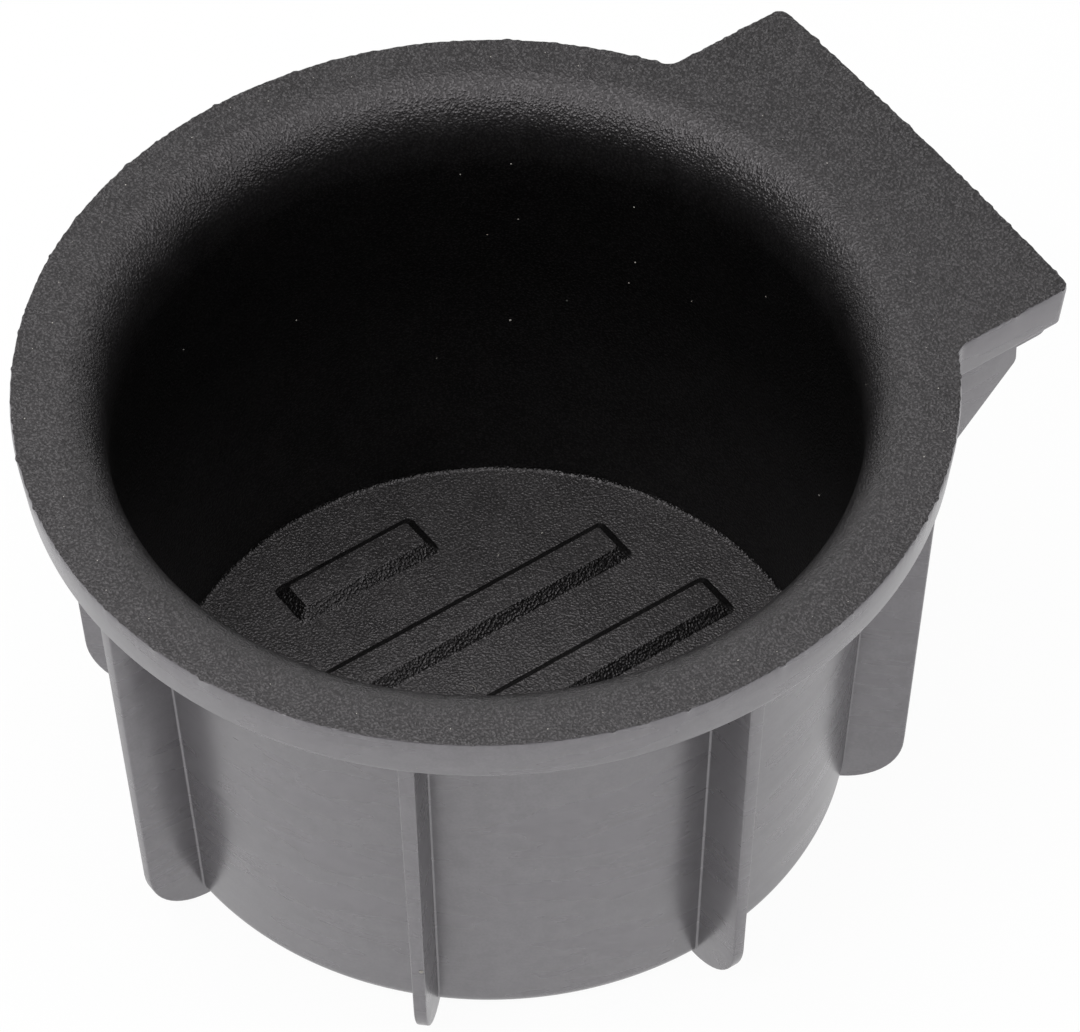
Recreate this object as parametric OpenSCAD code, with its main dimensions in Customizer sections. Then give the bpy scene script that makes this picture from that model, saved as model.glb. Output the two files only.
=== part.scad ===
// Car cup holder: a one-piece moulded rubber insert that drops into a well in the console.
// Millimetres. The base stands on z = 0, the cup's axis is the z axis, and the pull tab points along +X.

/* [Cup] */
// Inside diameter of the cup at its floor
floor_d = 76.6; // [60:0.2:92]
// Height from the base to the top of the flange
cup_h = 60; // [48:1:100]
// Thickness of the cup's wall, the lip and the flange's plate
wall_t = 2.1; // [1.6:0.1:3]
// Thickness of the floor
floor_t = 2; // [1.6:0.1:4]
// Draft of the cup's wall, in degrees
wall_draft = 3.8; // [1:0.2:6]
// Radius inside, where the floor meets the wall
floor_fillet = 0.6; // [0.3:0.1:2]
// Radius round the outside of the base
base_round = 2.4; // [0.8:0.2:3.2]

/* [Lip and flange] */
// Radius of the rounded lip that leads into the cup
lip_r = 6.2; // [4:0.2:10]
// Width of the flat ring between the lip and the flange's edge
flange_land = 4; // [3:0.5:12]
// Depth of the rim that hangs from the flange's edge, from the flange's top
rim_h = 6.2; // [4.5:0.1:9]
// Thickness of the rim under the flange's plate
rim_t = 2.4; // [1.8:0.1:3.5]
// Draft of the rim's outer face, in degrees
rim_draft = 6; // [1:0.5:8]
// Radius along the rim's lower edge
rim_round = 0.8; // [0.2:0.1:1.2]

/* [Pull tab] */
// Width of the tab
tab_w = 53.5; // [36:0.5:70]
// How far the middle of the tab's end stands out past the flange's edge
tab_out = 8.7; // [5:0.1:20]
// Radius of the tab's slightly bowed end
tab_end_r = 720; // [200:20:2000]
// Radius of the tab's two outer corners
tab_corner = 1.4; // [0.6:0.2:3]
// Radius of the fillets where the tab runs into the flange
tab_fillet = 2; // [0.5:0.5:5]

/* [Webs under the tab] */
// Thickness of each web
web_t = 2; // [1.2:0.1:3]
// How deep each web is set into the rim beside it
web_bite = 0.3; // [0.1:0.1:1]
// Distance from the tab's end back to the web's outer edge
web_back = 6; // [4:0.2:8]
// Drop from the rim's lower edge to the web's outer corner
web_drop = 4.2; // [3:0.2:10]
// Slope of the web's lower edge, in degrees below level
web_slope = 45; // [30:1:60]
// Radius of the web's outer corner
web_round = 1.4; // [0.4:0.2:2]
// Thickness of the foot between the web and the tab's end
foot_t = 1.2; // [0.8:0.1:2]
// Drop from the rim's lower edge to the foot's underside
foot_drop = 2.2; // [1:0.2:2.6]

/* [Ribs] */
// Number of ribs round the cup, one of them under the middle of the tab
rib_count = 8; // [4:4:12]
// Thickness of a rib where it meets the flange
rib_top_t = 1.9; // [1.2:0.1:3]
// Thickness of a rib at the base
rib_foot_t = 1.4; // [1:0.1:2.5]
// Distance from the flange's edge in to the ribs' outer edges
rib_setback = 1.5; // [1:0.1:3]
// Radius of the ribs' lower outer corners
rib_round = 8; // [3:0.5:12]

/* [Floor bars] */
// Height of the raised bars above the floor
bar_h = 1.2; // [0.6:0.1:3]
// Width of a bar at the floor
bar_w = 6.6; // [4:0.1:9]
// How far a bar's sloping sides lean in over its height
bar_lean = 1.4; // [0.3:0.1:1.8]
// Distance from one bar's middle to the next
bar_pitch = 13.8; // [11:0.1:20]
// Smallest distance from the bars' ends to the wall
bar_margin = 5.9; // [3:0.1:12]

/* [Hidden] */
$fn = 180;
// How far cutting shapes run past the faces they cut, and how deep joined shapes overlap
past = 1;
// A round's centre lies this share of its radius from the faces it joins: it crosses them at a slight angle
touch = cos(4);
rubber = [0.2, 0.2, 0.21];

// Cup wall: one lean for the inside and the outside, a wall thickness apart
wall_run = wall_t / cos(wall_draft);
function inside_r(z) = floor_d / 2 + (z - floor_t) * tan(wall_draft);
function outside_r(z) = inside_r(z) + wall_run;
wall_out = [cos(wall_draft), -sin(wall_draft)];

// Lip: both of its arcs have this centre in the cup's section, given as radius and height
lip_z = cup_h - lip_r;
lip_centre = [inside_r(lip_z) + lip_r / cos(wall_draft), lip_z];
lip_top = lip_centre - lip_r * wall_out;
lip_under_r = lip_r - wall_t;
lip_under = lip_centre - lip_under_r * wall_out;

// Flange and rim
flange_r = lip_centre[0] + flange_land;
rim_z = cup_h - rim_h;
rim_lean = rim_h * tan(rim_draft);
rim_edge_r = min(rim_round, (rim_t - rim_lean) / 2);
plate_z = cup_h - wall_t;
hollow_r = flange_r - rim_t;

// Tab
tab_reach = flange_r + tab_out;
tab_half = tab_w / 2;
tab_root = flange_r / 2;
end_centre = tab_reach - tab_end_r;
end_angle = asin((tab_half + past) / tab_end_r);
tab_corner_y = tab_half - touch * tab_corner;
tab_corner_x = end_centre + sqrt(pow(tab_end_r - touch * tab_corner, 2) - pow(tab_corner_y, 2));
side_fillet_y = tab_half + touch * tab_fillet;
side_fillet_at = [sqrt(pow(flange_r + touch * tab_fillet, 2) - pow(side_fillet_y, 2)), side_fillet_y];

// Webs: each lies against the inside of the tab's side rim
web_y = tab_half - rim_t + web_bite - web_t / 2;
foot_y = tab_half - rim_t + web_bite - foot_t / 2;
web_x = tab_reach - web_back;
web_corner_z = rim_z - web_drop;
web_turn = (90 - web_slope) / 2;
foot_x = tab_reach - rim_t;

// Ribs: their outer edges lean as the wall does
function rib_edge_r(z) = flange_r - rib_setback + (z - rim_z) * tan(wall_draft);
rib_top_z = plate_z + wall_t / 2;
rib_foot_r = inside_r(0) - base_round;

// Bars: as many as fit inside the circle that their ends keep to
bars_r = floor_d / 2 - bar_margin;
bars_each_side = floor((bars_r - bar_w / 2 - past) / bar_pitch);

// The part of the plane outside a round, between two directions from its centre
module outside_round(centre, radius, first, last) {
    reach = 3 * radius;
    translate(centre)
        difference() {
            polygon([[0, 0], reach * first, reach * (first + last), reach * last]);
            circle(r = radius);
        }
}

// The section of a rim from an inner line out to its leaning face: x counts outwards from the top edge
module rim_section(depth) {
    corner_z = rim_z + touch * rim_edge_r;
    corner_x = (corner_z - cup_h) * tan(rim_draft) - touch * rim_edge_r / cos(rim_draft);
    difference() {
        polygon([[-depth, rim_z], [-rim_lean, rim_z], [0, cup_h], [-depth, cup_h]]);
        outside_round([corner_x, corner_z], rim_edge_r, [0, -1], [cos(rim_draft), -sin(rim_draft)]);
    }
}

// A disc whose outer face is the rim's
module rim_disc(radius) {
    rotate_extrude()
        intersection() {
            translate([radius, 0]) rim_section(2 * radius);
            translate([0, rim_z]) square([radius, rim_h]);
        }
}

// The tab as a solid block: its long sides come from one section and its bowed end from another
module tab_block() {
    intersection() {
        translate([tab_root, 0, 0])
            rotate([90, 0, 90])
                linear_extrude(tab_reach - tab_root + past)
                    for (side = [0, 1])
                        mirror([side, 0]) translate([tab_half, 0]) rim_section(tab_half + past);
        translate([end_centre, 0, 0])
            rotate([0, 0, -end_angle])
                rotate_extrude(angle = 2 * end_angle)
                    translate([tab_end_r, 0]) rim_section(tab_reach - tab_root + past);
    }
}

// What is cut away outside the round at one of the tab's corners
module tab_corner_cut() {
    translate([tab_corner_x, tab_corner_y, 0])
        difference() {
            translate([0, 0, rim_z - past]) cube([2 * tab_corner, 2 * tab_corner, rim_h + 2 * past]);
            rim_disc(tab_corner);
        }
}

// Fills the corner between the tab's side and the flange with a concave round
module tab_side_fillet() {
    ring_point = side_fillet_at * (flange_r - 2 * past) / norm(side_fillet_at);
    difference() {
        translate([0, 0, rim_z])
            linear_extrude(rim_h)
                polygon([
                    side_fillet_at, ring_point,
                    [ring_point[0], tab_half - 2 * past], [side_fillet_at[0], tab_half - 2 * past]
                ]);
        translate([side_fillet_at[0], side_fillet_at[1], 0])
            rotate_extrude()
                difference() {
                    translate([0, rim_z - past]) square([tab_fillet + rim_lean + 2 * past, rim_h + 2 * past]);
                    translate([tab_fillet, 0]) mirror([1, 0]) rim_section(rim_lean + 3 * past);
                }
    }
}

// The open underside between the cup, the rim and the tab's rim
module underside() {
    pocket_half = tab_half - rim_t;
    translate([0, 0, rim_z - past]) {
        cylinder(r = hollow_r, h = rim_h - wall_t + past);
        translate([tab_root, -pocket_half, 0])
            cube([tab_reach - rim_t - tab_root, 2 * pocket_half, rim_h - wall_t + past]);
    }
}

// Flange, rim and tab as one open-bottomed shell
module flange_shell() {
    difference() {
        union() {
            rim_disc(flange_r);
            difference() {
                tab_block();
                for (side = [0, 1])
                    mirror([0, side, 0]) tab_corner_cut();
            }
            for (side = [0, 1])
                mirror([0, side, 0]) tab_side_fillet();
        }
        underside();
    }
}

// The cup's outside, still solid, with the round under the lip
module cup_outside() {
    corner_z = touch * base_round;
    base_corner = [outside_r(corner_z) - touch * base_round / cos(wall_draft), corner_z];
    rotate_extrude()
        union() {
            difference() {
                polygon([[0, 0], [outside_r(0), 0], lip_under, [0, lip_under[1]]]);
                outside_round(base_corner, base_round, [0, -1], wall_out);
            }
            difference() {
                translate([0, lip_under[1]]) square([lip_centre[0], plate_z + wall_t / 2 - lip_under[1]]);
                translate(lip_centre) circle(r = lip_under_r);
            }
        }
}

// The space inside the cup, with the lip's round and the floor's fillet
module cup_inside() {
    corner_z = floor_t + touch * floor_fillet;
    floor_corner = [inside_r(corner_z) - touch * floor_fillet / cos(wall_draft), corner_z];
    rotate_extrude()
        union() {
            difference() {
                polygon([[0, floor_t], [inside_r(floor_t), floor_t], lip_top, [0, cup_h]]);
                outside_round(floor_corner, floor_fillet, [0, -1], wall_out);
            }
            difference() {
                translate([0, lip_top[1]]) square([lip_centre[0], cup_h + past - lip_top[1]]);
                translate(lip_centre) circle(r = lip_r);
            }
        }
}

// One rib along +X: its side outline, thinned from the flange down to the base
module rib() {
    corner_z = touch * rib_round;
    corner = [rib_edge_r(corner_z) - touch * rib_round / cos(wall_draft), corner_z];
    intersection() {
        rotate([90, 0, 0])
            linear_extrude(2 * rib_top_t, center = true)
                difference() {
                    polygon([
                        [rib_foot_r, 0], [rib_edge_r(0), 0],
                        [rib_edge_r(rib_top_z), rib_top_z], [rib_foot_r, rib_top_z]
                    ]);
                    outside_round(corner, rib_round, [0, -1], wall_out);
                }
        rotate([90, 0, 90])
            linear_extrude(flange_r)
                polygon([
                    [-rib_foot_t / 2, 0], [rib_foot_t / 2, 0],
                    [rib_top_t / 2, rib_top_z], [-rib_top_t / 2, rib_top_z]
                ]);
    }
}

module ribs() {
    for (i = [0 : rib_count - 1])
        rotate([0, 0, i * 360 / rib_count]) rib();
}

// A web's side outline: a level top under the plate, an upright outer edge and a sloping lower edge
module web_outline() {
    run = web_x - tab_root;
    corner = [web_x - touch * web_round, web_corner_z + touch * web_round * tan(web_turn)];
    difference() {
        polygon([
            [tab_root, rib_top_z], [web_x, rib_top_z], [web_x, web_corner_z],
            [tab_root, web_corner_z - run * tan(web_slope)]
        ]);
        outside_round(corner, web_round, [1, 0], [sin(web_slope), -cos(web_slope)]);
    }
}

// One web under the tab, with the thinner foot that runs on to the tab's end
module web() {
    foot_z = rim_z - foot_drop;
    foot_round = foot_drop / 2;
    corner = [foot_x + past / 2 - touch * foot_round, foot_z + touch * foot_round];
    rotate([90, 0, 0]) {
        translate([0, 0, -web_y]) linear_extrude(web_t, center = true) web_outline();
        translate([0, 0, -foot_y]) linear_extrude(foot_t, center = true)
            difference() {
                translate([web_x - web_t, foot_z]) square([foot_x + past / 2 - web_x + web_t, rib_top_z - foot_z]);
                outside_round(corner, foot_round, [0, -1], [1, 0]);
            }
    }
}

module webs() {
    for (side = [0, 1])
        mirror([0, side, 0]) web();
}

// One raised bar on the floor, along X, with sloping sides and ends
module floor_bar(half_length) {
    low = floor_t / 2;
    top = floor_t + bar_h;
    intersection() {
        rotate([90, 0, 0])
            linear_extrude(bar_w, center = true) bar_section(half_length, low, top);
        rotate([90, 0, 90])
            linear_extrude(2 * half_length, center = true) bar_section(bar_w / 2, low, top);
    }
}

module bar_section(half, low, top) {
    polygon([
        [-half, low], [half, low], [half, floor_t],
        [half - bar_lean, top], [bar_lean - half, top], [-half, floor_t]
    ]);
}

module floor_bars() {
    for (i = [-bars_each_side : bars_each_side]) {
        middle = i * bar_pitch;
        half_length = sqrt(pow(bars_r, 2) - pow(abs(middle) + bar_w / 2, 2));
        translate([0, middle, 0]) floor_bar(half_length);
    }
}

module cup_holder() {
    color(rubber)
        union() {
            difference() {
                union() {
                    flange_shell();
                    cup_outside();
                    ribs();
                    webs();
                }
                cup_inside();
            }
            floor_bars();
        }
}

cup_holder();
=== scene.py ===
import math

import bpy
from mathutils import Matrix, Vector, noise


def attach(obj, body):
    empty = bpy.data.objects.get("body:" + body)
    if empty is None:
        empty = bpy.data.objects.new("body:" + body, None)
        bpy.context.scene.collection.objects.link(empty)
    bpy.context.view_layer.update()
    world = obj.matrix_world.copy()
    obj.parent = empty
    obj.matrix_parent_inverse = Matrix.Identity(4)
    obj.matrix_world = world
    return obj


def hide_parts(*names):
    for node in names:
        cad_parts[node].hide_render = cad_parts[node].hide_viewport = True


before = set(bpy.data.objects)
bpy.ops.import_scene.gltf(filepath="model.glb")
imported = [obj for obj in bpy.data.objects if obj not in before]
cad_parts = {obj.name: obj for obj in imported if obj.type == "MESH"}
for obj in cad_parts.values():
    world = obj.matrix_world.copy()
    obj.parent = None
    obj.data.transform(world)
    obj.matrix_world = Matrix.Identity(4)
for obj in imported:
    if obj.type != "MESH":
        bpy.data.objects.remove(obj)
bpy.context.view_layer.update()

MM = 0.001

# Sizes of the part in millimetres, the same values as the CAD model's
FLOOR_D = 76.6
CUP_H = 60.0
WALL_T = 2.1
FLOOR_T = 2.0
WALL_DRAFT = math.radians(3.8)
FLOOR_FILLET = 0.6
BASE_ROUND = 2.4
LIP_R = 6.2
FLANGE_LAND = 4.0
RIM_H = 6.2
RIM_T = 2.4
RIM_DRAFT = math.radians(6.0)
RIM_ROUND = 0.8
TAB_W = 53.5
TAB_OUT = 8.7
TAB_END_R = 720.0
TAB_CORNER = 1.4
TAB_FILLET = 2.0
WEB_T = 2.0
WEB_BITE = 0.3
WEB_BACK = 6.0
WEB_DROP = 4.2
WEB_SLOPE = math.radians(45.0)
WEB_ROUND = 1.4
FOOT_T = 1.2
FOOT_DROP = 2.2
RIB_COUNT = 8
RIB_TOP_T = 1.9
RIB_FOOT_T = 1.4
RIB_SETBACK = 1.5
RIB_ROUND = 8.0
BAR_H = 1.2
BAR_W = 6.6
BAR_LEAN = 1.4
BAR_PITCH = 13.8
BAR_MARGIN = 5.9

# Small radii that only the visual model has
TOP_EDGE = 0.1
RIB_EDGE = 0.22
ROOT_FILLET = 0.25
BAR_EDGE = 0.2
BAR_FOOT_FILLET = 0.16
BAR_CORNER = 0.45
# How much rounder the bars' corners get down their slope, as a share of the way out
BAR_CORNER_SPREAD = 0.35
# How far below its top edge's round the rim's face is fullest
RIM_FULLEST = 0.5

# The grained skin's ragged edge: how long its waves are and how far each goes, in millimetres
FINE_WAVE = 0.7
FINE_REACH = 0.14
COARSE_WAVE = 2.3
COARSE_REACH = 0.05
NICK_WAVE = 1.3
NICK_REACH = 0.7
NICK_FROM = 0.34
SKIN_SETBACK = 0.03

# Steps in each stretch of half the outline, enough for the ragged edge to show
END_STEPS = 114
CORNER_STEPS = 14
SIDE_STEPS = 54
FILLET_STEPS = 12
ROUND_STEPS = 566

# The shell's materials, in the order in which it holds them
GRAINED = 0
SATIN = 1
CUP_FLOOR = 2


def inside_r(z):
    return FLOOR_D / 2 + (z - FLOOR_T) * math.tan(WALL_DRAFT)


def outside_r(z):
    return inside_r(z) + WALL_T / math.cos(WALL_DRAFT)


LIP_Z = CUP_H - LIP_R
LIP_CENTRE = inside_r(LIP_Z) + LIP_R / math.cos(WALL_DRAFT)
LIP_UNDER = LIP_R - WALL_T
FLANGE_R = LIP_CENTRE + FLANGE_LAND
RIM_Z = CUP_H - RIM_H
PLATE_Z = CUP_H - WALL_T
HOLLOW_R = FLANGE_R - RIM_T
TAB_HALF = TAB_W / 2
TAB_REACH = FLANGE_R + TAB_OUT
END_CENTRE = TAB_REACH - TAB_END_R
POCKET_HALF = TAB_HALF - RIM_T
POCKET_REACH = TAB_REACH - RIM_T


# Outline of the flange and tab seen from above

def outline_half():
    """Points with outward normals, from the middle of the tab's end to the flange's far side."""
    points = []
    corner_y = TAB_HALF - TAB_CORNER
    corner_x = END_CENTRE + math.sqrt((TAB_END_R - TAB_CORNER) ** 2 - corner_y ** 2)
    corner_turn = math.atan2(corner_y, corner_x - END_CENTRE)
    fillet_y = TAB_HALF + TAB_FILLET
    fillet_x = math.sqrt((FLANGE_R + TAB_FILLET) ** 2 - fillet_y ** 2)
    fillet_turn = math.atan2(fillet_y, fillet_x)

    pocket_corner = math.atan2(POCKET_HALF, POCKET_REACH)
    at = [corner_turn * i / END_STEPS for i in range(END_STEPS)]
    # The end arc's angle at which the ray from the cup's axis passes the pocket's corner
    low, high = 0.0, corner_turn
    for _ in range(60):
        middle = (low + high) / 2
        x, y = END_CENTRE + TAB_END_R * math.cos(middle), TAB_END_R * math.sin(middle)
        low, high = (middle, high) if math.atan2(y, x) < pocket_corner else (low, middle)
    at.append(low)
    for a in sorted(at):
        n = (math.cos(a), math.sin(a))
        points.append(((END_CENTRE + TAB_END_R * n[0], TAB_END_R * n[1]), n))
    for i in range(CORNER_STEPS + 1):
        a = corner_turn + (math.pi / 2 - corner_turn) * i / CORNER_STEPS
        n = (math.cos(a), math.sin(a))
        points.append(((corner_x + TAB_CORNER * n[0], corner_y + TAB_CORNER * n[1]), n))
    hollow_meets = math.asin(POCKET_HALF / HOLLOW_R)
    xs = [corner_x + (fillet_x - corner_x) * i / SIDE_STEPS for i in range(1, SIDE_STEPS)]
    xs.append(TAB_HALF / math.tan(hollow_meets))
    for x in sorted(xs, reverse=True):
        points.append(((x, TAB_HALF), (0.0, 1.0)))
    for i in range(FILLET_STEPS + 1):
        a = -math.pi / 2 - (math.pi / 2 - fillet_turn) * i / FILLET_STEPS
        n = (-math.cos(a), -math.sin(a))
        points.append(((fillet_x - TAB_FILLET * n[0], fillet_y - TAB_FILLET * n[1]), n))
    for i in range(1, ROUND_STEPS + 1):
        a = fillet_turn + (math.pi - fillet_turn) * i / ROUND_STEPS
        n = (math.cos(a), math.sin(a))
        points.append(((FLANGE_R * n[0], FLANGE_R * n[1]), n))
    return points


def full_outline():
    half = outline_half()
    mirrored = [((x, -y), (nx, -ny)) for (x, y), (nx, ny) in reversed(half[1:-1])]
    return half + mirrored


def arc(centre, radius, first, last, steps):
    """Points of an arc in the section, from one angle to another in radians."""
    return [
        (centre[0] + radius * math.cos(first + (last - first) * i / steps),
         centre[1] + radius * math.sin(first + (last - first) * i / steps))
        for i in range(steps + 1)
    ]


def line(a, b, steps):
    """Points from a to b, without a itself."""
    return [
        (a[0] + (b[0] - a[0]) * i / steps, a[1] + (b[1] - a[1]) * i / steps)
        for i in range(1, steps + 1)
    ]


def grain_ripple(x, y):
    """How far the grained skin's edge wanders from the mould line, in millimetres."""
    # Each wave reads the noise at a place of its own
    coarse_from, nick_from = 31, 57
    fine = noise.noise(Vector((x / FINE_WAVE, y / FINE_WAVE, 0.0)))
    coarse = noise.noise(Vector((x / COARSE_WAVE + coarse_from, y / COARSE_WAVE, 0.0)))
    nick = noise.noise(Vector((x / NICK_WAVE, y / NICK_WAVE + nick_from, 0.0)))
    nick = max(0.0, nick - NICK_FROM)
    return FINE_REACH * fine + COARSE_REACH * coarse + NICK_REACH * nick - SKIN_SETBACK


def shell_mesh():
    """The cup, lip, flange, rim and hollow tab as one closed surface of rings and columns."""
    outline = full_outline()
    columns = len(outline)
    turns = [math.atan2(p[1], p[0]) for p, n in outline]
    verts, faces, slots = [], [], []
    rings = []

    def ring_of(radius, z):
        start = len(verts)
        verts.extend((radius * math.cos(a), radius * math.sin(a), z) for a in turns)
        rings.append(start)

    def ring_points(points):
        start = len(verts)
        verts.extend(points)
        rings.append(start)

    # Inside: floor, fillet, wall and lip
    fillet_z = FLOOR_T + FLOOR_FILLET
    fillet_r = inside_r(fillet_z) - FLOOR_FILLET / math.cos(WALL_DRAFT)
    flat_radii = (6.0, 24.0)
    fillet_steps = 5
    inner = [(r, FLOOR_T) for r in flat_radii]
    inner += arc((fillet_r, fillet_z), FLOOR_FILLET, -math.pi / 2, -WALL_DRAFT, fillet_steps)
    lip_start = (LIP_CENTRE - LIP_R * math.cos(WALL_DRAFT), LIP_Z + LIP_R * math.sin(WALL_DRAFT))
    inner += line(inner[-1], lip_start, 2)[:-1]
    inner += arc((LIP_CENTRE, LIP_Z), LIP_R, math.pi - WALL_DRAFT, math.pi / 2, 16)
    for r, z in inner:
        ring_of(r, z)
    # The floor's material goes up its fillet, short of the last step
    floor_rings = len(flat_radii) + fillet_steps

    # Flat top, out to the start of the edge's round
    top_circle = [(LIP_CENTRE * math.cos(a), LIP_CENTRE * math.sin(a)) for a in turns]
    ripples = [grain_ripple(p[0], p[1]) for p, n in outline]
    inset = [
        (p[0] - n[0] * (TOP_EDGE - w), p[1] - n[1] * (TOP_EDGE - w))
        for (p, n), w in zip(outline, ripples)
    ]
    for share in (0.5, 0.9, 1.0):
        ring_points([
            (a[0] + (b[0] - a[0]) * share, a[1] + (b[1] - a[1]) * share, CUP_H)
            for a, b in zip(top_circle, inset)
        ])
    # The top edge's round, each step of which follows a share of the grain's wandering. The satin
    # face starts just past its first step
    wander_shares = (1.0, 1.0, 0.6)
    for i, share in enumerate(wander_shares, start=1):
        turn = (math.pi / 2 + RIM_DRAFT) * i / len(wander_shares)
        out = TOP_EDGE * math.sin(turn)
        down = TOP_EDGE * (1 - math.cos(turn))
        ring_points([
            (p[0] - n[0] * (TOP_EDGE - out - w * share),
             p[1] - n[1] * (TOP_EDGE - out - w * share),
             CUP_H - down)
            for (p, n), w in zip(outline, ripples)
        ])
        if i == 1:
            grained_rings = len(rings)

    # Rim: leaning outer face, lower round, flat lower edge
    def rim_ring(inset_mm, z):
        ring_points([(p[0] - n[0] * inset_mm, p[1] - n[1] * inset_mm, z) for p, n in outline])

    lower_z = RIM_Z + RIM_ROUND
    lower_inset = (CUP_H - lower_z) * math.tan(RIM_DRAFT) + RIM_ROUND / math.cos(RIM_DRAFT)
    edge = arc((-lower_inset, lower_z), RIM_ROUND, -RIM_DRAFT, -math.pi / 2, 6)
    top_edge_z = CUP_H - TOP_EDGE * (1 + math.sin(RIM_DRAFT))
    fullest_out = -(CUP_H - top_edge_z - RIM_FULLEST) * math.tan(RIM_DRAFT)
    face = [(fullest_out, top_edge_z - RIM_FULLEST)]
    face += line(face[0], edge[0], 2)[:-1]
    for x, z in face + edge:
        rim_ring(-x, z)

    # Hollow underside: the inner face of the rim and the plate
    def hollow_radius(a):
        radius = HOLLOW_R
        c, s = abs(math.cos(a)), abs(math.sin(a))
        if math.cos(a) > 0:
            reach = min(POCKET_REACH / c, POCKET_HALF / max(s, 1e-9))
            radius = max(radius, reach)
        return radius

    hollow = [(hollow_radius(a) * math.cos(a), hollow_radius(a) * math.sin(a)) for a in turns]
    for z in (RIM_Z, PLATE_Z - 1.0, PLATE_Z):
        ring_points([(x, y, z) for x, y in hollow])
    for share in (0.5, 1.0):
        ring_points([
            (h[0] + (c[0] - h[0]) * share, h[1] + (c[1] - h[1]) * share, PLATE_Z)
            for h, c in zip(hollow, top_circle)
        ])

    # Outside of the cup, from the round under the lip to the base
    outer = arc((LIP_CENTRE, LIP_Z), LIP_UNDER, math.pi / 2, math.pi - WALL_DRAFT, 7)[1:]
    base_r = outside_r(BASE_ROUND) - BASE_ROUND / math.cos(WALL_DRAFT)
    base = arc((base_r, BASE_ROUND), BASE_ROUND, -WALL_DRAFT, -math.pi / 2, 8)
    outer += line(outer[-1], base[0], 2)[:-1]
    outer += base
    base_radii = (24.0, 8.0)
    outer += [(r, 0.0) for r in base_radii]
    for r, z in outer:
        ring_of(r, z)

    def quad_band(a, b, slot):
        for i in range(columns):
            j = (i + 1) % columns
            faces.append((a + i, a + j, b + j, b + i))
            slots.append(slot)

    for k in range(len(rings) - 1):
        slot = CUP_FLOOR if k + 1 < floor_rings else GRAINED if k + 1 < grained_rings else SATIN
        quad_band(rings[k], rings[k + 1], slot)
    centre = len(verts)
    verts.append((0.0, 0.0, FLOOR_T))
    verts.append((0.0, 0.0, 0.0))
    for i in range(columns):
        j = (i + 1) % columns
        faces.append((centre, rings[0] + j, rings[0] + i))
        slots.append(CUP_FLOOR)
        faces.append((centre + 1, rings[-1] + i, rings[-1] + j))
        slots.append(SATIN)
    return verts, faces, slots


def rounded_plate(outline, half_thickness, edge, steps=3):
    """A flat plate in the x-z plane, thick along y, with rounded edges.

    The outline runs counter-clockwise.
    """
    # The least value taken for the squared sum of two sides' normals, so that a sharp corner's
    # inset doesn't run away
    least_square = 0.6
    count = len(outline)
    normals = []
    for i in range(count):
        ax, az = outline[i - 1]
        bx, bz = outline[i]
        cx, cz = outline[(i + 1) % count]
        d1 = math.hypot(bx - ax, bz - az)
        d2 = math.hypot(cx - bx, cz - bz)
        n1 = ((bz - az) / d1, -(bx - ax) / d1)
        n2 = ((cz - bz) / d2, -(cx - bx) / d2)
        sx, sz = n1[0] + n2[0], n1[1] + n2[1]
        scale = 2 / max(sx * sx + sz * sz, least_square)
        normals.append((sx * scale, sz * scale))
    layers = []
    for i in range(steps + 1):
        turn = math.pi / 2 * i / steps
        layers.append((edge * (1 - math.sin(turn)), -half_thickness + edge * (1 - math.cos(turn))))
    layers += [(inset, -y) for inset, y in reversed(layers)]
    verts, faces = [], []
    for inset, y in layers:
        verts.extend((x - n[0] * inset, y, z - n[1] * inset) for (x, z), n in zip(outline, normals))
    for k in range(len(layers) - 1):
        for i in range(count):
            j = (i + 1) % count
            faces.append((k * count + i, k * count + j, (k + 1) * count + j, (k + 1) * count + i))
    faces.append(tuple(reversed(range(count))))
    faces.append(tuple(range((len(layers) - 1) * count, len(layers) * count)))
    return verts, faces


def rib_edge_r(z):
    return FLANGE_R - RIB_SETBACK + (z - RIM_Z) * math.tan(WALL_DRAFT)


def wall_middle(z):
    return inside_r(z) + WALL_T / 2 / math.cos(WALL_DRAFT)


def rib_plate():
    """One rib along +X, thinned towards the base, with its root inside the wall."""
    top = PLATE_Z + WALL_T / 2
    corner_r = rib_edge_r(RIB_ROUND) - RIB_ROUND / math.cos(WALL_DRAFT)
    # The root's lower end, inside the base's round
    root_foot = (38.6, 0.0)
    root_bend = (38.9, 0.9)
    root_z = 2.2
    points = [root_foot]
    points += arc((corner_r, RIB_ROUND), RIB_ROUND, -math.pi / 2, -WALL_DRAFT, 14)
    points += line(points[-1], (rib_edge_r(top), top), 10)
    points += arc((LIP_CENTRE, LIP_Z), LIP_R - WALL_T / 2, math.pi / 2, math.pi - WALL_DRAFT, 8)
    points += line(points[-1], (wall_middle(root_z), root_z), 6)
    points.append(root_bend)
    verts, faces = rounded_plate(points, RIB_TOP_T / 2, RIB_EDGE)
    thin = (RIB_TOP_T - RIB_FOOT_T) / top
    verts = [(x, y * (RIB_FOOT_T + thin * z) / RIB_TOP_T, z) for x, y, z in verts]
    return verts, faces


def wall_outside(z):
    """Radius of the outer wall at a height, with the base's round and the round under the lip."""
    if z < BASE_ROUND:
        centre = outside_r(BASE_ROUND) - BASE_ROUND / math.cos(WALL_DRAFT)
        return centre + math.sqrt(BASE_ROUND ** 2 - (BASE_ROUND - z) ** 2)
    if z > LIP_Z:
        return LIP_CENTRE - math.sqrt(LIP_UNDER ** 2 - (z - LIP_Z) ** 2)
    return outside_r(z)


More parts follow.
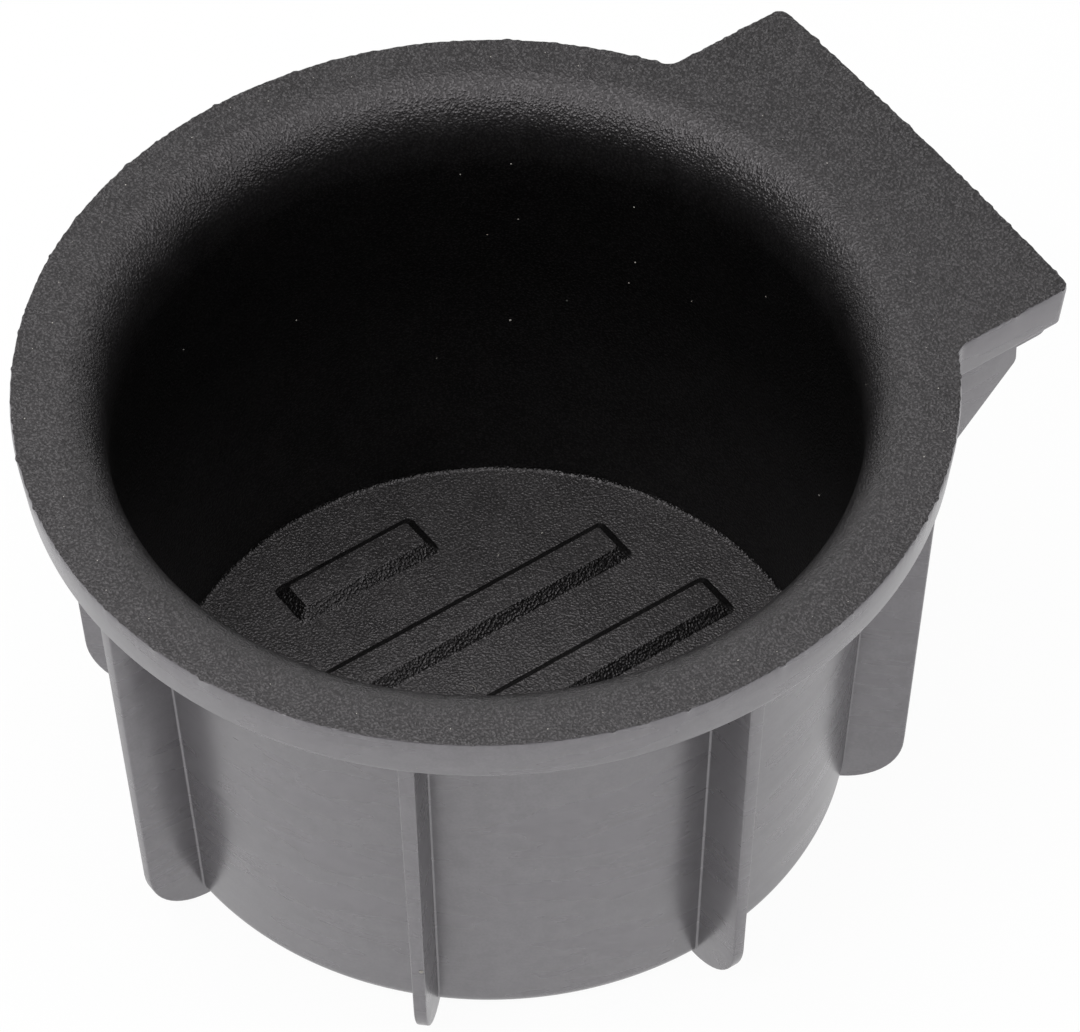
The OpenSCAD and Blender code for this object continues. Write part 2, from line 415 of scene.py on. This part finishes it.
def root_fillet():
    """The small concave round between the wall and one side of a rib along +X, as a closed strip."""
    top = PLATE_Z + WALL_T / 2
    steps = 5
    # How far the strip reaches into the rib
    bite = 0.3
    verts, faces = [], []
    # Closer together where the wall turns, at the base's round and under the lip
    heights = (0.3, 0.7, 1.2, 1.8, 2.4, 14.0, 26.0, 38.0, 50.0, LIP_Z, 55.0, 56.0, 57.0)
    for z in heights:
        half = (RIB_FOOT_T + (RIB_TOP_T - RIB_FOOT_T) * z / top) / 2
        y = half + ROOT_FILLET
        x = math.sqrt((wall_outside(z) + ROOT_FILLET) ** 2 - y * y)
        first = math.atan2(y, x) - math.pi
        section = arc((x, y), ROOT_FILLET, first, -math.pi / 2, steps)
        section.append((x - ROOT_FILLET / 2, half - bite))
        section.append((x - 1.5 * ROOT_FILLET, y - ROOT_FILLET / 2))
        verts += [(px, py, z) for px, py in section]
    count = steps + 3
    for k in range(len(heights) - 1):
        for i in range(count):
            j = (i + 1) % count
            faces.append((k * count + j, k * count + i, (k + 1) * count + i, (k + 1) * count + j))
    faces.append(tuple(range(count)))
    faces.append(tuple(reversed(range((len(heights) - 1) * count, len(heights) * count))))
    return verts, faces


def web_plate():
    """One web under the tab, drawn in the x-z plane about y = 0."""
    top = PLATE_Z + WALL_T / 2
    x_out = TAB_REACH - WEB_BACK
    corner_z = RIM_Z - WEB_DROP
    turn = (math.pi / 2 - WEB_SLOPE) / 2
    y = TAB_HALF - RIM_T + WEB_BITE - WEB_T / 2
    centre = (x_out - WEB_ROUND, corner_z + WEB_ROUND * math.tan(turn))
    points = []
    # Where the web's slope runs out into the wall, and how far above it the root's next point lies
    root_z = 29.6
    root_rise = 1.5
    root_x = math.sqrt(wall_middle(root_z) ** 2 - y ** 2)
    slope_z = corner_z - (x_out - root_x) * math.tan(WEB_SLOPE)
    points.append((root_x, slope_z))
    rounded = arc(centre, WEB_ROUND, WEB_SLOPE - math.pi / 2, 0.0, 6)
    points += line(points[0], rounded[0], 8)[:-1]
    points += rounded
    points += line(rounded[-1], (x_out, top), 4)
    for a in (math.pi / 2 + i * (math.pi / 2 - WALL_DRAFT) / 8 for i in range(9)):
        r = LIP_CENTRE + (LIP_R - WALL_T / 2) * math.cos(a)
        z = LIP_Z + (LIP_R - WALL_T / 2) * math.sin(a)
        points.append((math.sqrt(r * r - y * y), z))
    for i in range(1, 6):
        z = LIP_Z + (root_z + root_rise - LIP_Z) * i / 5
        points.append((math.sqrt(wall_middle(z) ** 2 - y * y), z))
    return rounded_plate(points, WEB_T / 2, RIB_EDGE)


def foot_plate():
    """The thinner foot between the web and the tab's end."""
    top = PLATE_Z + WALL_T / 2
    x_in = TAB_REACH - WEB_BACK - WEB_T
    bite = 0.5
    x_out = POCKET_REACH + bite
    low = RIM_Z - FOOT_DROP
    r = FOOT_DROP / 2
    points = [(x_in, low)]
    points += arc((x_out - r, low + r), r, -math.pi / 2, 0.0, 6)
    points += [(x_out, top), (x_in, top)]
    return rounded_plate(points, FOOT_T / 2, RIB_EDGE)


def bar_block(half_length):
    """A raised bar on the floor, with sloping sides, rounded edges and a concave round at its foot."""
    half_w = BAR_W / 2
    top = FLOOR_T + BAR_H
    slope = math.atan2(BAR_H, BAR_LEAN)
    foot = BAR_FOOT_FILLET * math.tan(slope / 2)
    setback = BAR_EDGE * math.tan(slope / 2)
    # The section as how far in from the bar's foot line, and at what height. It starts in the floor
    skirt = 0.05
    sunk = 0.7
    just_under = 0.002
    round_steps = 4
    section = [(-foot - skirt, FLOOR_T - sunk), (-foot - skirt, FLOOR_T - just_under)]
    for i in range(round_steps + 1):
        turn = slope * i / round_steps
        inset = BAR_FOOT_FILLET * math.sin(turn) - foot
        section.append((inset, FLOOR_T + BAR_FOOT_FILLET * (1 - math.cos(turn))))
    for i in range(round_steps + 1):
        turn = slope * (1 - i / round_steps)
        inset = BAR_LEAN + setback - BAR_EDGE * math.sin(turn)
        section.append((inset, top - BAR_EDGE * (1 - math.cos(turn))))
    verts, faces = [], []
    per_corner = 5
    count = 4 * (per_corner + 1)
    for inset, z in section:
        a, b = half_length - inset, half_w - inset
        corner = BAR_CORNER + BAR_CORNER_SPREAD * (BAR_LEAN - inset)
        for k, (sx, sy) in enumerate(((1, 1), (-1, 1), (-1, -1), (1, -1))):
            centre = (sx * (a - corner), sy * (b - corner))
            quarter = arc(centre, corner, k * math.pi / 2, (k + 1) * math.pi / 2, per_corner)
            verts += [(x, y, z) for x, y in quarter]
    for k in range(len(section) - 1):
        for i in range(count):
            j = (i + 1) % count
            faces.append((k * count + i, k * count + j, (k + 1) * count + j, (k + 1) * count + i))
    faces.append(tuple(reversed(range(count))))
    faces.append(tuple(range((len(section) - 1) * count, len(section) * count)))
    return verts, faces


def fleck(place, out, radius):
    """A crumb of dust: a small flattened ball lying on a surface whose outward direction is given."""
    place = Vector(place)
    out = Vector(out).normalized()
    side = out.orthogonal().normalized()
    across = out.cross(side)
    around = 7
    # Its height above the surface, its depth below it, its breadth across and how far its edge
    # wanders, as shares of its radius, and the width and height of its two rings
    height, sunk, breadth, wander = 0.55, 0.2, 0.8, 0.3
    crumb_rings = ((0.72, 0.38), (1.0, 0.0))
    verts = [tuple(place + out * radius * height)]
    for share, lift in crumb_rings:
        for i in range(around):
            turn = 2 * math.pi * i / around
            read_at = place * 3.7 + Vector((i * 1.3, share, 0))
            wobble = 1 + wander * noise.noise(read_at)
            flat = side * math.cos(turn) + across * math.sin(turn) * breadth
            verts.append(tuple(place + flat * radius * share * wobble + out * radius * lift))
    verts.append(tuple(place - out * radius * sunk))
    faces = []
    last = len(verts) - 1
    for i in range(around):
        j = (i + 1) % around
        faces.append((0, 1 + i, 1 + j))
        faces.append((1 + i, 1 + around + i, 1 + around + j, 1 + j))
        faces.append((1 + around + i, last, 1 + around + j))
    return verts, faces


def fibre(points, radius):
    """A lint fibre: a thin closed tube along a few points."""
    around = 5
    last = len(points) - 1
    verts, faces = [], []
    for k, point in enumerate(points):
        ahead = Vector(points[min(k + 1, last)]) - Vector(points[max(k - 1, 0)])
        side = ahead.orthogonal().normalized()
        across = ahead.normalized().cross(side)
        for i in range(around):
            turn = 2 * math.pi * i / around
            away = side * math.cos(turn) + across * math.sin(turn)
            verts.append(tuple(Vector(point) + away * radius))
    for k in range(last):
        for i in range(around):
            j = (i + 1) % around
            here, beyond = k * around, (k + 1) * around
            faces.append((here + i, here + j, beyond + j, beyond + i))
    faces.append(tuple(reversed(range(around))))
    faces.append(tuple(range(last * around, len(points) * around)))
    return verts, faces


# Gathering the pieces

def turned(verts, angle):
    c, s = math.cos(angle), math.sin(angle)
    return [(x * c - y * s, x * s + y * c, z) for x, y, z in verts]


def moved(verts, dx, dy):
    return [(x + dx, y + dy, z) for x, y, z in verts]


def mirrored(verts, faces):
    return [(x, -y, z) for x, y, z in verts], [tuple(reversed(f)) for f in faces]


class Gather:
    """Sub-parts in millimetres, collected in metres as one mesh with a material slot for each face."""

    def __init__(self):
        self.verts, self.faces, self.slots = [], [], []

    def add(self, verts, faces, slots):
        start = len(self.verts)
        self.verts += [(x * MM, y * MM, z * MM) for x, y, z in verts]
        self.faces += [tuple(i + start for i in f) for f in faces]
        self.slots += slots if isinstance(slots, list) else [slots] * len(faces)


def make_object(name, gather, materials, sharp_degrees):
    mesh = bpy.data.meshes.new(name)
    mesh.from_pydata(gather.verts, [], gather.faces)
    for material in materials:
        mesh.materials.append(material)
    mesh.polygons.foreach_set("material_index", gather.slots)
    mesh.polygons.foreach_set("use_smooth", [True] * len(mesh.polygons))
    mesh.validate()
    mesh.update()
    mesh.set_sharp_from_angle(angle=math.radians(sharp_degrees))
    obj = bpy.data.objects.new(name, mesh)
    bpy.context.scene.collection.objects.link(obj)
    return obj


# Materials

def new_material(name):
    material = bpy.data.materials.new(name)
    material.use_nodes = True
    tree = material.node_tree
    for node in list(tree.nodes):
        tree.nodes.remove(node)
    out = tree.nodes.new("ShaderNodeOutputMaterial")
    shader = tree.nodes.new("ShaderNodeBsdfPrincipled")
    tree.links.new(shader.outputs["BSDF"], out.inputs["Surface"])
    return material, tree, shader


def add_node(tree, kind, **values):
    node = tree.nodes.new(kind)
    for key, value in values.items():
        setattr(node, key, value)
    return node


def math_node(tree, operation, a, b):
    node = add_node(tree, "ShaderNodeMath", operation=operation)
    for i, value in enumerate((a, b)):
        if isinstance(value, (int, float)):
            node.inputs[i].default_value = value
        else:
            tree.links.new(value, node.inputs[i])
    return node.outputs[0]


def noise_node(tree, coords, scale, detail=2.0, roughness=0.5, stretch=None):
    if stretch:
        mapping = add_node(tree, "ShaderNodeMapping")
        mapping.inputs["Scale"].default_value = stretch
        tree.links.new(coords, mapping.inputs["Vector"])
        coords = mapping.outputs[0]
    node = add_node(tree, "ShaderNodeTexNoise")
    node.inputs["Scale"].default_value = scale
    node.inputs["Detail"].default_value = detail
    node.inputs["Roughness"].default_value = roughness
    tree.links.new(coords, node.inputs["Vector"])
    return node.outputs["Fac"]


def map_range(tree, value, from_min, from_max, to_min, to_max):
    node = add_node(tree, "ShaderNodeMapRange")
    node.clamp = True
    tree.links.new(value, node.inputs["Value"])
    sockets = ("From Min", "From Max", "To Min", "To Max")
    for key, number in zip(sockets, (from_min, from_max, to_min, to_max)):
        node.inputs[key].default_value = number
    return node.outputs[0]


def mix_color(tree, factor, a, b):
    node = add_node(tree, "ShaderNodeMix", data_type="RGBA")
    tree.links.new(factor, node.inputs["Factor"])
    # Inputs 6 and 7 and output 2 are the node's colour sockets
    for socket, value in ((node.inputs[6], a), (node.inputs[7], b)):
        if isinstance(value, tuple):
            socket.default_value = value
        else:
            tree.links.new(value, socket)
    return node.outputs[2]


def pebble_grain(tree, coords):
    """The mould's leather-like grain: irregular pebbles about 0.3 mm across, as a height from 0 to 1."""
    lumps_per_metre = 3000.0
    pebbles_per_metre = 3400.0
    lumps = noise_node(tree, coords, lumps_per_metre, 1.0, 0.55)
    cells = add_node(tree, "ShaderNodeTexVoronoi", feature="F1")
    cells.inputs["Scale"].default_value = pebbles_per_metre
    tree.links.new(coords, cells.inputs["Vector"])
    pebbles = map_range(tree, cells.outputs["Distance"], 0.1, 0.7, 1.0, 0.0)
    swell = map_range(tree, lumps, 0.3, 0.7, 0.0, 1.0)
    half_pebbles = math_node(tree, "MULTIPLY", pebbles, 0.5)
    half_swell = math_node(tree, "MULTIPLY", swell, 0.5)
    return math_node(tree, "ADD", half_pebbles, half_swell)


def height_share(tree, coords, low, high):
    """0 below one height of the part and 1 above another."""
    split = add_node(tree, "ShaderNodeSeparateXYZ")
    tree.links.new(coords, split.inputs[0])
    return map_range(tree, split.outputs["Z"], low, high, 0.0, 1.0)


def level_share(tree):
    """0 on steep faces and 1 on level ones: the share of painted light on level faces against painted shade
    on steep ones.
    """
    split = add_node(tree, "ShaderNodeSeparateXYZ")
    tree.links.new(add_node(tree, "ShaderNodeNewGeometry").outputs["Normal"], split.inputs[0])
    return map_range(tree, split.outputs["Z"], 0.82, 0.98, 0.0, 1.0)


def rubber_grained(name, level, steep, rough_low, rough_high, depth, shaded_wall_shine):
    """Black rubber with the mould's grain and painted light: a lit colour on level faces, or on the lip and
    top, and a colour of painted shade on steep faces, or on the cup's wall.

    depth is the grain's, in metres. A wall shine below 1 dulls the reflections of the cup's wall under its
    lip as painted shade, and sets the wall's painted shade by height; at 1 the painted light and shade
    follow how level a face is.
    """
    material, tree, shader = new_material(name)
    coords = add_node(tree, "ShaderNodeTexCoord").outputs["Object"]
    pebble = pebble_grain(tree, coords)
    broad = noise_node(tree, coords, 240.0, 1.0, 0.5)
    bump = add_node(tree, "ShaderNodeBump")
    bump.inputs["Strength"].default_value = 1.0
    bump.inputs["Distance"].default_value = depth
    tree.links.new(pebble, bump.inputs["Height"])
    tree.links.new(bump.outputs[0], shader.inputs["Normal"])

    # Painted shade: the cup's wall takes a dark shaded colour, a little lighter towards its foot, and the
    # lip and top above it take the lighter lit colour. On the floor the bars' sides take painted shade and
    # the level faces painted light
    if shaded_wall_shine < 1:
        low_wall = (0.0105, 0.010, 0.0102, 1)
        painted_light_share = height_share(tree, coords, 0.050, 0.057)
        steep = mix_color(tree, height_share(tree, coords, 0.002, 0.034), low_wall, steep)
    else:
        painted_light_share = level_share(tree)
    broad_haze = map_range(tree, broad, 0.3, 0.7, 0.85, 1.15)
    # Painted shade: the grain's pits are darker than its tops, over a random broad tone
    pebble_pit_shade = map_range(tree, pebble, 0.25, 0.6, 0.7, 1.1)
    tone_and_pit_shade = math_node(tree, "MULTIPLY", broad_haze, pebble_pit_shade)
    shade = add_node(tree, "ShaderNodeVectorMath", operation="SCALE")
    tree.links.new(mix_color(tree, painted_light_share, steep, level), shade.inputs[0])
    tree.links.new(tone_and_pit_shade, shade.inputs["Scale"])
    tree.links.new(shade.outputs[0], shader.inputs["Base Color"])
    rough = map_range(tree, broad, 0.3, 0.7, rough_low, rough_high)
    tree.links.new(rough, shader.inputs["Roughness"])
    # Painted glints and shade: the grain's tops reflect fully and its pits less
    glints_and_pit_shade = map_range(tree, pebble, 0.36, 0.74, 0.46, 1.0)
    # Painted shade: the wall's reflections dim below the lip
    painted_shade_shine = map_range(tree, height_share(tree, coords, 0.046, 0.0555), 0.0, 1.0, shaded_wall_shine, 1.0)
    tree.links.new(math_node(tree, "MULTIPLY", glints_and_pit_shade, painted_shade_shine), shader.inputs["Specular IOR Level"])
    shader.inputs["IOR"].default_value = 1.46
    shader.inputs["Specular Tint"].default_value = (1.0, 0.955, 0.98, 1)
    return material


def rubber_satin():
    """The same rubber off a polished mould: smooth satin with faint flow marks, its colour raised as
    painted sheen.
    """
    material, tree, shader = new_material("rubber_satin")
    coords = add_node(tree, "ShaderNodeTexCoord").outputs["Object"]
    flow = noise_node(tree, coords, 60.0, 2.0, 0.55, (1.0, 1.0, 4.5))
    lines = noise_node(tree, coords, 90.0, 2.0, 0.6, (1.0, 1.0, 26.0))
    skin = noise_node(tree, coords, 2600.0, 1.0, 0.6)
    waves = math_node(tree, "ADD", flow, math_node(tree, "MULTIPLY", lines, 0.1))
    height = math_node(tree, "ADD", waves, math_node(tree, "MULTIPLY", skin, 0.02))
    bump = add_node(tree, "ShaderNodeBump")
    bump.inputs["Strength"].default_value = 0.5
    bump.inputs["Distance"].default_value = 0.00016
    tree.links.new(height, bump.inputs["Height"])
    tree.links.new(bump.outputs[0], shader.inputs["Normal"])

    # Painted sheen: a base colour far lighter than the grained rubber's stands in for part of the white
    # surroundings that the satin reflects; the two tones follow the flow marks
    darker, lighter = (0.096, 0.0915, 0.0985, 1), (0.110, 0.105, 0.1125, 1)
    tone = mix_color(tree, map_range(tree, flow, 0.35, 0.65, 0.0, 1.0), darker, lighter)
    tree.links.new(tone, shader.inputs["Base Color"])
    tree.links.new(map_range(tree, flow, 0.3, 0.7, 0.25, 0.31), shader.inputs["Roughness"])
    mottle = noise_node(tree, coords, 500.0, 2.0, 0.55)
    fine = noise_node(tree, coords, 3200.0, 0.0, 0.5)
    mottle_part = math_node(tree, "MULTIPLY", mottle, 0.55)
    fine_part = math_node(tree, "MULTIPLY", fine, 0.45)
    patchy = math_node(tree, "ADD", mottle_part, fine_part)
    tree.links.new(map_range(tree, patchy, 0.36, 0.64, 0.82, 1.0), shader.inputs["Specular IOR Level"])
    shader.inputs["IOR"].default_value = 1.77
    shader.inputs["Specular Tint"].default_value = (0.985, 0.955, 1.0, 1)
    return material


def dust_material():
    material, tree, shader = new_material("dust")
    shader.inputs["Base Color"].default_value = (0.42, 0.40, 0.37, 1)
    shader.inputs["Roughness"].default_value = 0.8
    return material


# Building the insert

# The grained rubber's colours: the lit colour of the lip and top, and the painted shade of the cup's wall
grained = rubber_grained(
    "rubber_grained", level=(0.018, 0.0171, 0.0177, 1), steep=(0.0025, 0.0024, 0.0024, 1),
    rough_low=0.32, rough_high=0.37, depth=0.00009, shaded_wall_shine=0.45,
)
# The floor's colours: painted light on the floor and the bars' tops, painted shade on the bars' sides
cup_floor = rubber_grained(
    "rubber_floor", level=(0.037, 0.0351, 0.0358, 1), steep=(0.002, 0.0019, 0.0019, 1),
    rough_low=0.31, rough_high=0.36, depth=0.00010, shaded_wall_shine=1.0,
)
satin = rubber_satin()

shell = Gather()
shell.add(*shell_mesh())
insert = make_object("cup_insert", shell, [grained, satin, cup_floor], 32)

fins = Gather()
rib_verts, rib_faces = rib_plate()
fillet_verts, fillet_faces = root_fillet()
for index in range(RIB_COUNT):
    angle = 2 * math.pi * index / RIB_COUNT
    fins.add(turned(rib_verts, angle), rib_faces, 0)
    for verts, faces in ((fillet_verts, fillet_faces), mirrored(fillet_verts, fillet_faces)):
        fins.add(turned(verts, angle), faces, 0)
web_y = TAB_HALF - RIM_T + WEB_BITE - WEB_T / 2
# The foot's outer face lies just behind the web's, so that no two faces share a place
FOOT_SETBACK = 0.03
foot_y = TAB_HALF - RIM_T + WEB_BITE - FOOT_T / 2 - FOOT_SETBACK
for (verts, faces), y in ((web_plate(), web_y), (foot_plate(), foot_y)):
    verts = moved(verts, 0, y)
    fins.add(verts, faces, 0)
    fins.add(*mirrored(verts, faces), 0)
ribs = make_object("outer_ribs", fins, [satin], 40)

floor_bars = Gather()
bars_r = FLOOR_D / 2 - BAR_MARGIN
# How far the outermost bar's side stays inside the circle on which the bars end
OUTERMOST_INSIDE = 1
each_side = math.floor((bars_r - BAR_W / 2 - OUTERMOST_INSIDE) / BAR_PITCH)
for index in range(-each_side, each_side + 1):
    middle = index * BAR_PITCH
    half_length = math.sqrt(bars_r ** 2 - (abs(middle) + BAR_W / 2) ** 2)
    verts, faces = bar_block(half_length)
    floor_bars.add(moved(verts, 0, middle), faces, 0)
bars = make_object("floor_bars", floor_bars, [cup_floor], 30)

# Dust on the inner wall: azimuth in degrees, height and size in millimetres
WALL_FLECKS = (
    (51, 50.5, 0.11), (59, 49, 0.09), (50, 42, 0.1), (55, 39.5, 0.09), (31, 47, 0.11), (30.5, 38.5, 0.12),
    (31.5, 35, 0.09), (42, 30, 0.1), (51.5, 26, 0.17), (64, 20.5, 0.09), (345, 24.5, 0.11), (329, 55, 0.09),
    (20, 36, 0.09), (88, 33, 0.09), (112, 41, 0.08), (5, 44, 0.09), (150, 30, 0.08), (300, 20, 0.09),
)
# Dust on the floor: x, y and size in millimetres
FLOOR_FLECKS = (
    (20.8, 19.7, 0.12), (14.7, 19.9, 0.12), (-6, 25, 0.09),
    (27, 2, 0.1), (-20, 21.5, 0.09), (9, -21, 0.09),
)
# Dust on the flange's top, the rim and the outer wall: an even spread of turn, place and size
SPREAD_FLECKS = 165
SPREAD_STEPS = (0.8191725, 0.6710436, 0.5497005)
SMALLEST_FLECK = 0.045
FLECK_RANGE = 0.05
# How far it keeps from the edges of the flange's top, and from the rim's lower and upper edge
TOP_MARGIN = 0.4
RIM_MARGINS = (1.2, 0.8)
# Where the outer wall's dust begins and how high a band it covers
WALL_DUST_FROM = 4.0
WALL_DUST_HIGH = 46.0
# Beyond this cosine of the turn the tab stands where the round rim would be
TAB_COSINE = 0.8
# A curl of lint standing on the floor: its points and radius
LINT_CURL = ((0.5, 4.4, 2.02), (0.62, 4.5, 2.3), (0.6, 4.7, 2.65), (0.4, 4.85, 2.9), (0.15, 4.9, 3.0))
LINT_RADIUS = 0.035
# A beige crumb on the near rib's outer edge: its turn, height and radius
CRUMB_TURN = math.radians(225.5)
CRUMB_Z = 15.6
CRUMB_RADIUS = 0.3

crumbs = Gather()
for azimuth, z, radius in WALL_FLECKS:
    a = math.radians(azimuth)
    r = inside_r(z) if z < LIP_Z else LIP_CENTRE - math.sqrt(LIP_R ** 2 - (z - LIP_Z) ** 2)
    crumbs.add(*fleck((r * math.cos(a), r * math.sin(a), z), (-math.cos(a), -math.sin(a), 0), radius), 0)
for x, y, radius in FLOOR_FLECKS:
    crumbs.add(*fleck((x, y, FLOOR_T), (0, 0, 1), radius), 0)
for index in range(SPREAD_FLECKS):
    around, share, size = (index * step % 1 for step in SPREAD_STEPS)
    a = 2 * math.pi * around
    radius = SMALLEST_FLECK + FLECK_RANGE * size
    away = (math.cos(a), math.sin(a), 0)
    if index % 3 == 0:
        r, z = LIP_CENTRE + TOP_MARGIN + share * (FLANGE_LAND - 2 * TOP_MARGIN), CUP_H
        out = (0, 0, 1)
    elif index % 3 == 1:
        z = RIM_Z + RIM_MARGINS[0] + share * (RIM_H - sum(RIM_MARGINS))
        r, out = FLANGE_R - (CUP_H - z) * math.tan(RIM_DRAFT), away
    else:
        z = WALL_DUST_FROM + WALL_DUST_HIGH * share
        r, out = outside_r(z), away
    if out == away and z > RIM_Z and math.cos(a) > TAB_COSINE:
        continue
    crumbs.add(*fleck((r * away[0], r * away[1], z), out, radius), 0)
crumbs.add(*fibre(LINT_CURL, LINT_RADIUS), 0)
crumb_r = rib_edge_r(CRUMB_Z)
crumb_at = (crumb_r * math.cos(CRUMB_TURN), crumb_r * math.sin(CRUMB_TURN), CRUMB_Z)
crumbs.add(*fleck(crumb_at, (math.cos(CRUMB_TURN), math.sin(CRUMB_TURN), 0), CRUMB_RADIUS), 0)
dust = make_object("dust", crumbs, [dust_material()], 60)

for piece in (insert, ribs, bars, dust):
    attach(piece, "root")
    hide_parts("cup_holder")


# Stage

def floor_material():
    """White to the camera and in reflections, with a little real shading so that the shadow stays."""
    material, tree, shader = new_material("pale_floor")
    # Only the camera and reflections see its glow, so it isn't sampled as a lamp
    material.cycles.emission_sampling = "NONE"
    shader.inputs["Base Color"].default_value = (0.95, 0.95, 0.95, 1)
    shader.inputs["Roughness"].default_value = 0.9
    shader.inputs["Specular IOR Level"].default_value = 0.0
    light = add_node(tree, "ShaderNodeEmission")
    light.inputs["Strength"].default_value = 1.0
    path = add_node(tree, "ShaderNodeLightPath")
    seen = math_node(tree, "MAXIMUM", path.outputs["Is Camera Ray"], path.outputs["Is Glossy Ray"])
    seen = math_node(tree, "MAXIMUM", seen, path.outputs["Is Transmission Ray"])
    share = math_node(tree, "MULTIPLY", seen, 0.96)
    mix = add_node(tree, "ShaderNodeMixShader")
    tree.links.new(share, mix.inputs[0])
    tree.links.new(shader.outputs[0], mix.inputs[1])
    tree.links.new(light.outputs[0], mix.inputs[2])
    out = next(node for node in tree.nodes if node.type == "OUTPUT_MATERIAL")
    tree.links.new(mix.outputs[0], out.inputs["Surface"])
    return material


# The floor's half width, and how far it lies below the part's base so that no two faces share a place
FLOOR_REACH = 6.0
FLOOR_GAP = 0.00005
floor_mesh = bpy.data.meshes.new("floor")
floor_corners = [
    (x * FLOOR_REACH, y * FLOOR_REACH, 0) for x, y in ((-1, -1), (1, -1), (1, 1), (-1, 1))
]
floor_mesh.from_pydata(floor_corners, [], [(0, 1, 2, 3)])
floor_mesh.materials.append(floor_material())
floor = bpy.data.objects.new("floor", floor_mesh)
floor.location = (0, 0, -FLOOR_GAP)
bpy.context.scene.collection.objects.link(floor)

# The world: dim all round, with a white backdrop beyond the tab's far side that is brightest low
# down. The camera itself sees plain white
world = bpy.data.worlds.new("studio")
bpy.context.scene.world = world
world.use_nodes = True
tree = world.node_tree
background = next(node for node in tree.nodes if node.type == "BACKGROUND")
background.inputs["Color"].default_value = (1.0, 1.0, 1.0, 1)
direction = add_node(tree, "ShaderNodeTexCoord").outputs["Generated"]
BACKDROP_AZIMUTH = math.radians(65)
BACKDROP_LOW = 3.2
BACKDROP_HIGH = 0.4
ALL_ROUND = 0.06
towards = add_node(tree, "ShaderNodeVectorMath", operation="DOT_PRODUCT")
towards.inputs[1].default_value = (math.cos(BACKDROP_AZIMUTH), math.sin(BACKDROP_AZIMUTH), 0)
tree.links.new(direction, towards.inputs[0])
split = add_node(tree, "ShaderNodeSeparateXYZ")
tree.links.new(direction, split.inputs[0])
facing = map_range(tree, towards.outputs["Value"], 0.25, 0.7, 0.0, 1.0)
strength = map_range(tree, split.outputs["Z"], 0.02, 0.2, BACKDROP_LOW, BACKDROP_HIGH)
backdrop = math_node(tree, "MULTIPLY", facing, strength)
glow = math_node(tree, "ADD", backdrop, ALL_ROUND)
path = add_node(tree, "ShaderNodeLightPath")
seen = path.outputs["Is Camera Ray"]
rest = math_node(tree, "MULTIPLY", glow, math_node(tree, "SUBTRACT", 1.0, seen))
tree.links.new(math_node(tree, "ADD", rest, seen), background.inputs["Strength"])


def softbox(name, azimuth, elevation, distance, width, height, radiance):
    """An area light facing the part's middle, with its face's brightness where white is 1."""
    aim_z = 0.05
    lamp = bpy.data.lights.new(name, "AREA")
    lamp.shape = "RECTANGLE"
    lamp.size, lamp.size_y = width, height
    lamp.energy = radiance * math.pi * width * height
    a, e = math.radians(azimuth), math.radians(elevation)
    away = Vector((math.cos(e) * math.cos(a), math.cos(e) * math.sin(a), math.sin(e)))
    obj = bpy.data.objects.new(name, lamp)
    obj.location = away * distance + Vector((0, 0, aim_z))
    obj.rotation_euler = away.to_track_quat("Z", "Y").to_euler()
    bpy.context.scene.collection.objects.link(obj)
    return obj


softbox("left", 188, 50, 0.7, 0.3, 0.4, 3.7)
softbox("right", 302, 38, 0.7, 0.36, 0.26, 2.8)
# The level panel overhead, reaching farther to the back and left than to the camera
panel = softbox("overhead", 0, 90, 0.27, 0.36, 0.42, 2.15)
panel.location = (-0.034, 0.050, 0.31)
panel.rotation_euler = (0, 0, math.radians(50))

# Camera: its place and turn come from the fit of the flange, base, ribs and tab to the photograph
camera_data = bpy.data.cameras.new("camera")
camera_data.sensor_fit = "HORIZONTAL"
camera_data.sensor_width = 36.0
camera_data.lens = 268.807
camera_data.clip_start = 0.05
camera_data.clip_end = 50.0
camera = bpy.data.objects.new("camera", camera_data)
camera.rotation_euler = [math.radians(a) for a in (41.144819, 0.655560, -35.429383)]
camera.location = (-0.3315806, -0.4892696, 0.7133960)
bpy.context.scene.collection.objects.link(camera)
bpy.context.scene.camera = camera
bpy.context.scene.view_settings.view_transform = "Standard"
